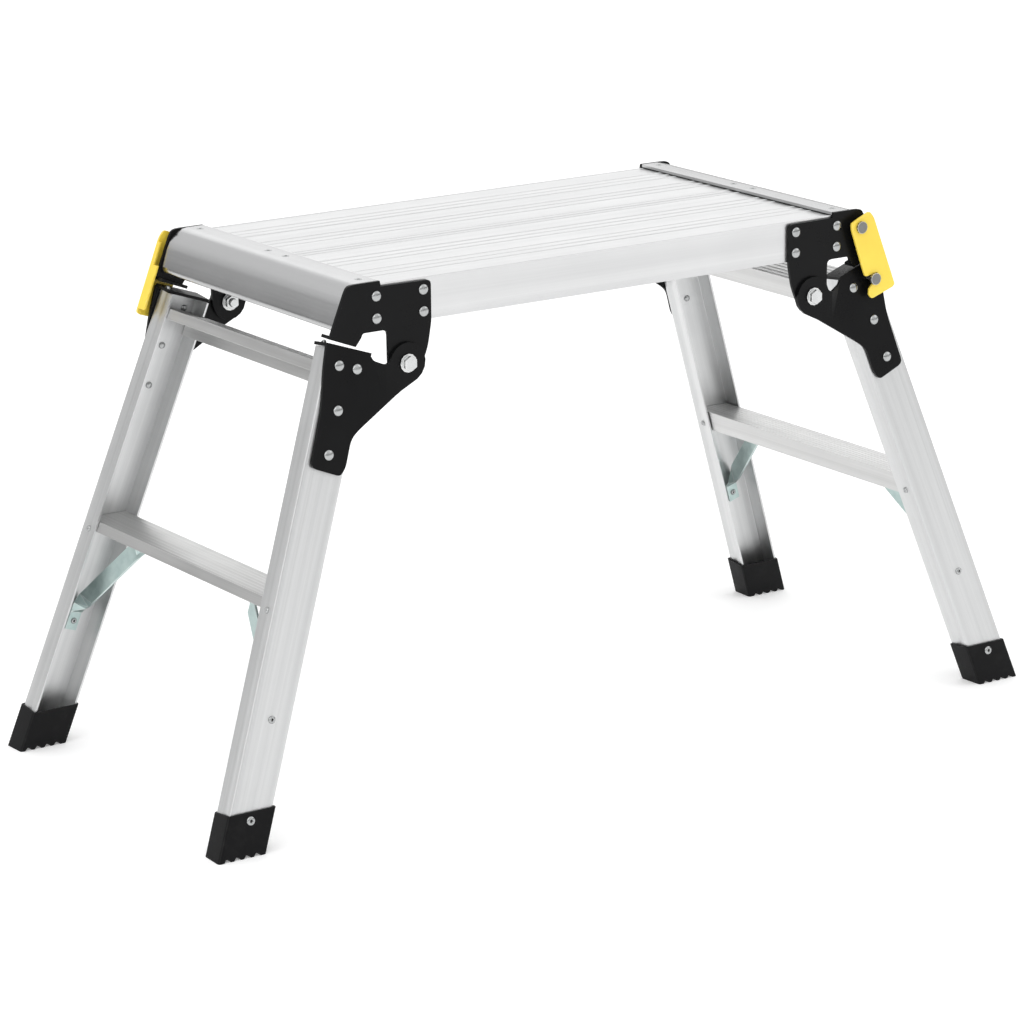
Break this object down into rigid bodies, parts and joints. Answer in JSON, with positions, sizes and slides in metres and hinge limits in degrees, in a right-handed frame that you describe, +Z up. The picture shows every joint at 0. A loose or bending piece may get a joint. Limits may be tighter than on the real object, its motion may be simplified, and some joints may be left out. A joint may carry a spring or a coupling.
{
  "type": "work platform bench",
  "caption": "Folding work platform bench: ribbed deck on splayed channel legs that fold under it, with a step and rung at each end and hooked latches.",
  "frame": {"origin": "on the floor under the middle of the bench", "axes": "+X along the deck toward the right-hand end, +Y across the deck toward the rear, +Z up"},
  "size_m": [0.9578, 0.4174, 0.5083],
  "materials": {
    "aluminium": "satin extruded, fine lengthwise grain",
    "cap_aluminium": "satin, slightly darker than the deck",
    "black_paint": "gloss black coating on pressed sheet steel",
    "yellow_paint": "satin yellow coating on pressed sheet steel",
    "zinc": "zinc plated with a faint blue-green tint",
    "steel": "bright plated steel",
    "black_plastic": "matt moulded"
  },
  "bodies": {
    "deck": {"deck_plank_front": "aluminium", "deck_plank_rear": "aluminium", "end_cap_right": "cap_aluminium", "upper_bracket_right_front": "black_paint", "upper_bracket_right_rear": "black_paint", "hinge_bolt_right_front": "steel", "hinge_bolt_right_rear": "steel", "hinge_nut_right_front": "steel", "hinge_nut_right_rear": "steel", "latch_pivot_right": "steel", "end_cap_left": "cap_aluminium", "upper_bracket_left_rear": "black_paint", "upper_bracket_left_front": "black_paint", "hinge_bolt_left_rear": "steel", "hinge_bolt_left_front": "steel", "hinge_nut_left_rear": "steel", "hinge_nut_left_front": "steel", "latch_pivot_left": "steel"},
    "legs_right": {"top_rung_right": "aluminium", "step_right": "aluminium", "lower_bracket_right_front": "black_paint", "lower_bracket_right_rear": "black_paint", "leg_right_front": "aluminium", "leg_right_rear": "aluminium", "brace_right_front": "zinc", "brace_right_rear": "zinc", "foot_right_front": "black_plastic", "foot_right_rear": "black_plastic", "lock_pin_right": "steel"},
    "legs_left": {"top_rung_left": "aluminium", "step_left": "aluminium", "lower_bracket_left_rear": "black_paint", "lower_bracket_left_front": "black_paint", "leg_left_rear": "aluminium", "leg_left_front": "aluminium", "brace_left_rear": "zinc", "brace_left_front": "zinc", "foot_left_rear": "black_plastic", "foot_left_front": "black_plastic", "lock_pin_left": "steel"},
    "latch_arm_right": {"latch_right": "yellow_paint"},
    "latch_arm_left": {"latch_left": "yellow_paint"}
  },
  "joints": [
    {"name": "legs_right_fold", "type": "hinge", "parent": "deck", "child": "legs_right", "pos_m": [0.238, 0, 0.428], "axis": [0, 1, 0], "range_deg": [0, 117.8]},
    {"name": "legs_left_fold", "type": "hinge", "parent": "deck", "child": "legs_left", "pos_m": [-0.238, 0, 0.428], "axis": [0, -1, 0], "range_deg": [0, 104.4]},
    {"name": "latch_right_swing", "type": "hinge", "parent": "deck", "child": "latch_arm_right", "pos_m": [0.2925, -0.17, 0.4915], "axis": [0, -1, 0], "range_deg": [0, 170.81]},
    {"name": "latch_left_swing", "type": "hinge", "parent": "deck", "child": "latch_arm_left", "pos_m": [-0.2925, 0.17, 0.4915], "axis": [0, 1, 0], "range_deg": [0, 151.38]}
  ],
  "couplings": [
    {"joint": "latch_right_swing", "follows": "legs_right_fold", "ratio": 1.45},
    {"joint": "latch_left_swing", "follows": "legs_left_fold", "ratio": 1.45}
  ]
}
